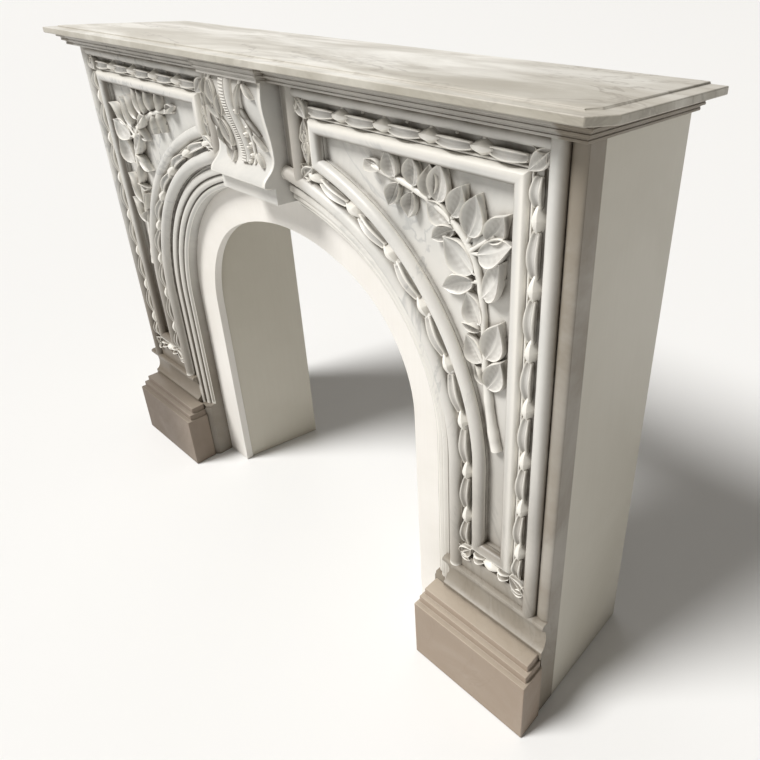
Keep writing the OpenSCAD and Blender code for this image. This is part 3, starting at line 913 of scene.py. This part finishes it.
def leafGrid(base, heading, length, width, ground, look, bend=0.0, tilt=0.0, curl=0.0, lift=0.0):
    # u from stalk to tip, v from edge to edge. Half width: a sine of u with a round base and a drawn-out
    # tip. Height: raised round rims, a dished blade with a rib and slanting veins, a tip that curls,
    # and sides cut in underneath.
    u = np.linspace(0, 1, look["rows"])[:, None]
    v = np.linspace(-1, 1, look["columns"])[None, :]
    edge = np.abs(v)
    blade = np.clip((u - look["stalk"]) / (1 - look["stalk"]), 0, 1)
    swell = np.sin(math.pi * blade ** look["fullness"]) ** (0.62 + 0.55 * blade)
    spread = np.clip(swell, 0, 1)
    half = width / 2 * (swell * 0.95 + 0.10 * (1 - 0.8 * u))
    body = 0.62 + 0.38 * np.sin(math.pi * np.clip(u * 0.9, 0, 1)) ** 0.6
    rim = np.exp(-((edge - leafForm["rimAt"]) / leafForm["rimWidth"]) ** 2)
    rim = rim * (1 + 0.45 * np.sign(v) * np.sign(tilt or 1))
    dish = np.clip(1 - (edge / leafForm["dishEnd"]) ** 2.3, 0, 1)
    rib = np.exp(-(v / leafForm["ribWidth"]) ** 2) * (0.35 + spread) * (1 - 0.6 * u)
    veins = np.sin((u * leafForm["veins"] - edge * 1.5) * 2 * math.pi)
    veins = veins * np.clip(edge * (0.85 - edge) * 5, 0, 1)
    relief = look["rim"] * rim - look["dish"] * dish + look["vein"] * veins + tilt * leafForm["tilt"] * v
    h = (look["body"] * body + lift + look["rib"] * rib + spread * relief
         + curl * 7 * np.clip(u - leafForm["curlFrom"], 0, 1) ** 2 - look["edgeDrop"] * edge ** 7)
    across = half * np.sin(v * math.pi / 2)
    sunk = 0 * u - leafForm["sink"]
    ends = [(across[:, -1:] * 0.96, h[:, -1:] * 0.72), (across[:, -1:] * look["foot"], sunk),
            (across[:, :1] * look["foot"], sunk), (across[:, :1] * 0.96, h[:, :1] * 0.72)]
    across = np.concatenate([across] + [end[0] for end in ends], 1)
    h = np.concatenate([h] + [end[1] for end in ends], 1)
    run = u * length
    turned = u ** 2 - 1.8 * np.clip(u - leafForm["bendEnd"], 0, 1) ** 2
    sideways = across + 1.8 * bend * length * turned
    c, s = math.cos(heading), math.sin(heading)
    x = base[0] + run * c - sideways * s
    z = base[1] + run * s + sideways * c
    return np.stack([x, marbleBack - (ground(x, z) + h), z], -1)


branchLeaf = {
    "rows": 30,
    "columns": 23,
    "fullness": 0.86,
    "stalk": 0.08,
    "body": 0.0144,
    "rim": 0.0056,
    "dish": 0.0080,        # leaves the plain leaf of the cut block covered
    "rib": 0.0020,
    "vein": 0.00025,
    "edgeDrop": 0.0062,
    "foot": 0.66,
}
branch = {
    # where the stem starts, the two points it leans towards, and where it ends
    "stem": ((panelRight - 0.025, panelTop - 0.471), (panelRight - 0.101, panelTop - 0.194),
             (panelRight + 0.028, panelTop - 0.075), (panelRight - 0.304, panelTop - 0.031)),
    "thick": 0.0108,
    "thin": 0.0056,
    "height": 0.0040,      # of the stem's middle above the panel
    "knots": 0.12,
    "stalkHeight": 0.0058,
    "widen": 0.55,         # width of a leaf as a share of its length
    # place along the stem, heading in degrees, start off the stem, length, bend, tilt, curl
    "leaves": (
        (0.15, 53, 0.004, 0.074, 0.14, 0.0012, 0.004), (0.16, 129, 0.002, 0.040, -0.12, -0.001, 0.001),
        (0.22, 139, 0.002, 0.056, -0.16, 0.001, 0.002), (0.23, 56, 0.006, 0.082, 0.16, 0.0014, 0.004),
        (0.32, 163, 0.002, 0.040, 0.14, -0.001, 0.001), (0.33, 126, 0.004, 0.060, -0.12, 0.0014, 0.002),
        (0.43, 46, 0.004, 0.080, 0.18, -0.0016, 0.005), (0.49, 192, 0.006, 0.070, 0.12, -0.0014, 0.002),
        (0.51, 150, 0.004, 0.078, -0.12, 0.0014, 0.003), (0.60, 12, 0.012, 0.078, 0.16, -0.0016, 0.003),
        (0.61, 38, 0.040, 0.066, 0.14, 0.0016, 0.006), (0.64, 62, 0.012, 0.076, 0.14, 0.0014, 0.004),
        (0.70, 196, 0.002, 0.052, 0.14, -0.001, 0.002), (0.72, 160, 0.002, 0.056, -0.12, 0.0012, 0.002),
        (0.74, 52, 0.008, 0.062, 0.14, 0.0012, 0.004), (0.80, 68, 0.006, 0.068, 0.12, 0.0012, 0.003),
        (0.82, 94, 0.004, 0.058, -0.12, 0.001, 0.002), (0.88, 249, 0.002, 0.042, 0.18, -0.0012, 0.003),
        (0.88, 79, 0.004, 0.052, 0.10, 0.001, 0.002), (0.92, 227, 0.002, 0.044, 0.20, -0.0012, 0.003),
        (0.93, 118, 0.002, 0.048, -0.12, 0.001, 0.002), (0.97, 150, 0.002, 0.038, 0.10, 0.001, 0.001)),
}


def curvePoint(points, t):
    # cubic curve through its first and last points
    p = np.array(points, float)
    t = np.asarray(t, float)[..., None]
    return (p[0] * (1 - t) ** 3 + p[1] * 3 * t * (1 - t) ** 2
            + p[2] * 3 * t * t * (1 - t) + p[3] * t ** 3)


def panelGround(x, z):
    # height of the sunk panel in front of the marble's back, the same everywhere
    return leg["panel"] + 0 * x


def stemGrid(points, thick, thin, ground, height, rows, knots=0.0):
    # a round stem half sunk in the ground: circles along a curve, whose radius falls off from thick to
    # thin, with low swellings at even steps
    t = np.linspace(0, 1, rows)
    p = curvePoint(points, t)
    d = np.gradient(p, axis=0)
    d /= np.linalg.norm(d, axis=1, keepdims=True)
    r = (thin + (thick - thin) * np.exp(-t * 6)) * (1 + knots * np.sin(t * 38) ** 8)
    a = np.linspace(0, 2 * math.pi, 14, endpoint=False)
    across = r[:, None] * np.cos(a)[None, :]
    up = height + r[:, None] * np.sin(a)[None, :]
    x = p[:, :1] - d[:, 1:] * across
    z = p[:, 1:] + d[:, :1] * across
    return np.stack([x, marbleBack - (ground(x, z) + up), z], -1)


def makeBranch():
    # the stem, then each leaf with the short stalk that joins it to the stem
    thick, thin = branch["thick"], branch["thin"]
    stems, leaves = [], []
    addGrid(stems, stemGrid(branch["stem"], thick, thin, panelGround, branch["height"], 90, branch["knots"]))
    for place, heading, start, length, bend, tilt, curl in branch["leaves"]:
        base = curvePoint(branch["stem"], place)
        turn = math.radians(heading)
        tip = base + start * np.array([math.cos(turn), math.sin(turn)])
        addGrid(leaves, leafGrid(tip, turn, length, length * branch["widen"],
                                 panelGround, branchLeaf, bend, tilt, curl))
        stalk = (base, base * 0.7 + tip * 0.3, base * 0.2 + tip * 0.8, tip + (tip - base) * 0.5)
        addGrid(stems, stemGrid(stalk, thin * 0.8, thin * 0.55, panelGround, branch["stalkHeight"], 8))
    return stems, leaves


stemParts, leafParts = makeBranch()
buildPiece("Stem", stemParts, carvedMarble, (1, -1), 60)
buildPiece("Leaves", leafParts, carvedMarble, (1, -1), 50)


cornerLeaf = {
    "rows": 20,
    "columns": 15,
    "fullness": 0.80,
    "stalk": 0.04,
    "body": 0.0110,
    "rim": 0.0026,
    "dish": 0.0040,
    "rib": 0.0036,
    "vein": 0.0004,
    "edgeDrop": 0.0020,
    "foot": 0.8,
}


def channelGround(x, z):
    # height of the channels' floor, the same everywhere
    return channelFloor + 0 * x


archEndZ = float(archChannel(archTotal)[1])
sprays = {
    "size": 0.044,
    "setBack": 0.018,      # from the corner of the bead line to the leaves' stalks
    "curl": 0.002,
    # turn in degrees, length and width as shares of the size, lift
    "leaves": ((0, 1.0, 0.62, 0.002), (52, 0.62, 0.36, 0.0), (-52, 0.62, 0.36, 0.0)),
    # place of a corner, and the degrees its broad leaf points to
    "corners": (
        (midRight + 0.004, midTop + 0.004, 225), (midRight + 0.004, midFoot - 0.004, 135),
        (footStart - 0.002, midFoot - 0.004, 45), (midLeft - 0.004, midTop + 0.004, -45),
        (midLeft - 0.002, archEndZ - 0.002, 35)),
}


def makeSprays():
    # a broad leaf out of each corner and a smaller one at each side of it
    parts = []
    for x, z, toward in sprays["corners"]:
        middle = math.radians(toward)
        base = (x - sprays["setBack"] * math.cos(middle), z - sprays["setBack"] * math.sin(middle))
        for turn, length, width, lift in sprays["leaves"]:
            addGrid(parts, leafGrid(base, math.radians(toward + turn), sprays["size"] * length,
                                    sprays["size"] * width, channelGround, cornerLeaf,
                                    curl=sprays["curl"], lift=lift))
    return parts


buildPiece("CornerLeaves", makeSprays(), carvedMarble, (1, -1), 50)


# long leaves that fill the short upright channel beside the keystone
uprightLeaf = dict(cornerLeaf, body=0.0095, dish=0.0030, rib=0.0030)
upright = {
    "low": archEndZ + 0.018,
    "high": midTop - 0.022,
    "overlap": 0.004,      # how far both sprays start past the middle
    "longer": 0.006,
    "width": 0.0165,
    "leaves": ((0, 1.0), (16, 0.62), (-16, 0.62)),   # turn in degrees, share of the length
}


def makeUpright():
    # two sprays of three leaves from the middle of the channel, one up and one down
    parts = []
    middle = (upright["low"] + upright["high"]) / 2
    for start, end, heading in ((middle - upright["overlap"], upright["high"], 90),
                                (middle + upright["overlap"], upright["low"], 270)):
        size = abs(end - start) + upright["longer"]
        for turn, share in upright["leaves"]:
            addGrid(parts, leafGrid((midLeft, start), math.radians(heading + turn), size * share,
                                    upright["width"], channelGround, uprightLeaf))
    return parts


buildPiece("UprightLeaves", makeUpright(), carvedMarble, (1, -1), 50)


keyFootZ = keyLow[2] + 0.032     # underside of the face's lip
keyFace = {
    "lip": 0.093,
    # handles of the face's two curves: reach in front of the marble's back, rise above keyFootZ
    "lipCurve": ((0.093, 0.005), (0.093, 0.025), (0.066, 0.026), (0.066, 0.056)),
    "headCurve": ((0.066, 0.056), (0.066, 0.110), (0.087, 0.140), (0.073, legTop - keyFootZ)),
    "lipRows": (0.001, 0.056, 40),     # from, to and number of rows over the lip
    "headRows": (0.060, legTop - keyFootZ - 0.0006, 60),
    "columns": 41,
    "inset": 0.0005,       # from the sides of the cut keystone
    "proud": 0.0012,
    "round": (0.007, 0.010),           # height of the rounded lip, and how far it draws back
    "softSide": (0.004, 0.0035),       # width of the rounded sides, and how far they draw back
    "root": 0.050,
}


def keyProfile():
    # the S of the keystone's face, two cubic curves end to end: reach against level
    t = np.linspace(0, 1, 60)
    curve = np.vstack([curvePoint(keyFace["lipCurve"], t), curvePoint(keyFace["headCurve"], t)[1:]])
    return curve + (0, keyFootZ)


keyLine = keyProfile()


def keyGround(x, z):
    # height of the keystone's face, which changes with the level only
    return np.interp(np.asarray(z, float), keyLine[:, 1], keyLine[:, 0])


def makeKeyFace():
    # the S-shaped face: the profile's reach at each level, drawn back by a parabola at the lip's foot
    # and by a quarter ellipse along both sides
    rise = np.concatenate([np.linspace(*keyFace["lipRows"]), np.linspace(*keyFace["headRows"])])
    half = keySide - keyFace["inset"]
    z, x = np.meshgrid(keyFootZ + rise, np.linspace(-half, half, keyFace["columns"]), indexing="ij")
    tall, back = keyFace["round"]
    roundLip = np.clip((z - keyFootZ) / tall, 0, 1)
    up = np.where(z < keyFootZ + tall, keyFace["lip"] - back * (1 - roundLip) ** 2, keyGround(x, z))
    wide, drop = keyFace["softSide"]
    soft = np.clip((keySide - np.abs(x)) / wide, 0, 1)
    up = up + keyFace["proud"] - drop * (1 - np.sqrt(1 - (1 - soft) ** 2))
    top = np.stack([x, marbleBack - up, z], -1)
    under = top[:, ::-1].copy()
    under[..., 1] = marbleBack - keyFace["root"]
    return [(np.concatenate([top, under], 1), False)]


keyLeaf = {
    "rows": 24,
    "columns": 15,
    "fullness": 0.9,
    "stalk": 0.02,
    "body": 0.0088,
    "rim": 0.0030,
    "dish": 0.0056,
    "rib": 0.0032,
    "vein": 0.0002,
    "edgeDrop": 0.0032,
    "foot": 0.4,
}
keyCarving = {
    "stem": ((-0.015, legTop - 0.001), (-0.012, legTop - 0.072),
             (0.006, legTop - 0.094), (0.015, legTop - 0.150)),
    "stemHalf": 0.0190,
    "stemHeight": 0.012,
    "ribs": 32,
    "ribDepth": 0.0024,
    # leaves from base to tip across the face: x and depth below the top of both, then width
    "leaves": (
        (-0.078, 0.004, -0.070, 0.034, 0.013), (-0.066, 0.006, -0.044, 0.044, 0.015),
        (-0.074, 0.040, -0.044, 0.070, 0.014), (-0.074, 0.064, -0.047, 0.092, 0.013),
        (-0.052, 0.076, -0.022, 0.118, 0.015), (-0.050, 0.102, -0.024, 0.128, 0.012),
        (-0.046, 0.120, -0.018, 0.147, 0.012), (-0.070, 0.020, -0.060, 0.062, 0.010),
        (-0.064, 0.090, -0.050, 0.122, 0.010), (-0.036, 0.030, -0.030, 0.066, 0.010),
        (0.036, 0.004, 0.012, 0.052, 0.018), (0.046, 0.004, 0.072, 0.030, 0.013),
        (0.038, 0.060, 0.066, 0.096, 0.015), (0.050, 0.094, 0.077, 0.122, 0.013),
        (0.048, 0.128, 0.068, 0.152, 0.013), (0.034, 0.046, 0.046, 0.072, 0.010)),
    "berries": ((0.012, 0.058), (0.022, 0.100), (0.033, 0.117), (0.031, 0.138), (0.022, 0.124),
                (0.034, 0.086), (0.026, 0.148)),
    "vines": (((0.034, 0.000), (0.030, 0.050), (0.040, 0.090), (0.040, 0.150)),
              ((-0.070, 0.000), (-0.076, 0.060), (-0.060, 0.090), (-0.050, 0.145))),
    "leafDrop": 0.003,
    "stretch": 1.05,
    "bend": 0.12,
    "tilt": 0.0012,
    "curl": 0.001,
    "lift": 0.0015,
    "berryRadius": 0.0052,
    "vineRadius": (0.0034, 0.0028),
    "vineHeight": 0.003,
    "vineDrop": 0.001,
}


def ribbedStem():
    # a flattened half round that winds down the face: fine cross ribs, a cosine of the length, cut its
    # left part between two grooves
    rows = keyCarving["ribs"] * 8
    t = np.linspace(0, 1, rows)
    p = curvePoint(keyCarving["stem"], t)
    d = np.gradient(p, axis=0)
    d /= np.linalg.norm(d, axis=1, keepdims=True)
    v = np.linspace(-1, 1, 33)
    half = keyCarving["stemHalf"] * (1 - 0.18 * t)
    across = half[:, None] * v[None, :]
    dome = np.sqrt(np.clip(1 - (np.abs(v) * 0.98) ** 2.6, 0, 1))[None, :]
    up = keyCarving["stemHeight"] * dome + 0 * across
    ribbed = (np.clip((v + 0.70) * 8, 0, 1) * np.clip((0.34 - v) * 8, 0, 1))[None, :]
    slant = t[:, None] - v[None, :] * 0.012
    ribs = 0.5 + 0.5 * np.cos(slant * keyCarving["ribs"] * 2 * math.pi)
    up = up - keyCarving["ribDepth"] * ribbed * ribs
    groove = (np.exp(-((v + 0.72) / 0.06) ** 2) + np.exp(-((v - 0.40) / 0.06) ** 2))[None, :]
    up = up - keyCarving["ribDepth"] * groove
    up = np.concatenate([up, np.full((rows, 2), -0.002)], 1)
    across = np.concatenate([across, across[:, -1:], across[:, :1]], 1)
    x = p[:, :1] - d[:, 1:] * across
    z = p[:, 1:] + d[:, :1] * across
    z = np.minimum(z, legTop - 0.0004)
    return np.stack([x, marbleBack - (keyGround(x, z) + up), z], -1)


def berryGrid(x0, z0, r):
    # a ball with a drilled middle, let into the face: rings of shrinking radius, rising to the drilled
    # hole's edge and then falling into it
    a = np.array([1.0, 0.98, 0.86, 0.66, 0.42, 0.34, 0.30, 0.05])
    h = np.array([-0.3, 0.25, 0.62, 0.90, 1.0, 0.85, 0.35, 0.30])
    b = np.linspace(0, 2 * math.pi, 14, endpoint=False)
    x = x0 + r * a[:, None] * np.cos(b)[None, :]
    z = z0 + r * a[:, None] * np.sin(b)[None, :]
    up = r * 1.5 * h[:, None] + 0.001
    return np.stack([x, marbleBack - (keyGround(x, z) + up), z], -1)


def makeKeyCarving():
    # the ribbed stem, leaves from base to tip, berries, and vines as thin stems; leaves on both sides
    # bend and tilt away from the middle
    parts = []
    addGrid(parts, ribbedStem())
    for x0, deep0, x1, deep1, width in keyCarving["leaves"]:
        dx, dz = x1 - x0, deep0 - deep1
        side = 1 if x0 > 0 else -1
        addGrid(parts, leafGrid((x0, legTop - deep0 - keyCarving["leafDrop"]), math.atan2(dz, dx),
                                math.hypot(dx, dz) * keyCarving["stretch"], width, keyGround, keyLeaf,
                                keyCarving["bend"] * side, keyCarving["tilt"] * side,
                                keyCarving["curl"], keyCarving["lift"]))
    for x, deep in keyCarving["berries"]:
        addGrid(parts, berryGrid(x, legTop - deep, keyCarving["berryRadius"]))
    for vine in keyCarving["vines"]:
        points = [(x, legTop - keyCarving["vineDrop"] - deep) for x, deep in vine]
        addGrid(parts, stemGrid(points, *keyCarving["vineRadius"], keyGround, keyCarving["vineHeight"], 50))
    return parts


buildPiece("keystoneFace", makeKeyFace(), carvedMarble, (1,), 40)
buildPiece("keystoneCarving", makeKeyCarving(), carvedMarble, (1,), 45)


studio = {
    "floor": (0.84, 0.84, 0.835),
    "floorSize": 160,
    "floorDrop": 0.0006,   # keeps the floor clear of the plinths' undersides
    "floorRoughness": 0.9,
    "sky": (1.0, 0.945, 0.865),
    "skyStrength": 0.19,
    # name, the way it comes from, strength, softness in degrees, colour
    "lamps": (
        ("key", (-1.05, -1.75, 2.40), 3.7, 22, (1.0, 0.99, 0.975)),
        ("sheen", (-1.65, 0.90, 0.38), 0.55, 50, (1.0, 1.0, 1.0)),
    ),
}


def makeStudio():
    # a plain floor, an even sky and soft suns that shine from their places towards the origin
    bpy.ops.mesh.primitive_plane_add(size=studio["floorSize"], location=(0, 0, -studio["floorDrop"]))
    floor = bpy.context.object
    floor.name = "floor"
    material = bpy.data.materials.new("paleFloor")
    material.use_nodes = True
    shader = material.node_tree.nodes["Principled BSDF"]
    shader.inputs["Base Color"].default_value = (*studio["floor"], 1)
    shader.inputs["Roughness"].default_value = studio["floorRoughness"]
    floor.data.materials.append(material)
    world = bpy.data.worlds.new("studio")
    bpy.context.scene.world = world
    world.use_nodes = True
    background = world.node_tree.nodes["Background"]
    background.inputs["Color"].default_value = (*studio["sky"], 1)
    background.inputs["Strength"].default_value = studio["skyStrength"]
    for name, source, strength, softness, colour in studio["lamps"]:
        lamp = bpy.data.lights.new(name, "SUN")
        lamp.energy = strength
        lamp.angle = math.radians(softness)
        lamp.color = colour
        holder = bpy.data.objects.new(name, lamp)
        holder.location = source
        holder.rotation_euler = Vector(source).to_track_quat("Z", "Y").to_euler()
        bpy.context.scene.collection.objects.link(holder)


view = {
    "place": (1.147, -0.794, 1.306),
    "tilt": 62.84,         # degrees
    "roll": -1.30,
    "turn": 39.41,
    "lens": 30.66,
    "shift": (-0.1513, -0.0947),
    "sensor": 36,
    "nearest": 0.05,
}


def makeCamera():
    camera = bpy.data.cameras.new("camera")
    camera.lens = view["lens"]
    camera.sensor_width = view["sensor"]
    camera.shift_x, camera.shift_y = view["shift"]
    camera.clip_start = view["nearest"]
    holder = bpy.data.objects.new("camera", camera)
    holder.location = view["place"]
    holder.rotation_euler = Euler([math.radians(view[k]) for k in ("tilt", "roll", "turn")], "XYZ")
    bpy.context.scene.collection.objects.link(holder)
    bpy.context.scene.camera = holder


makeStudio()
makeCamera()
bpy.context.scene.view_settings.view_transform = "Standard"
print("studio ready")
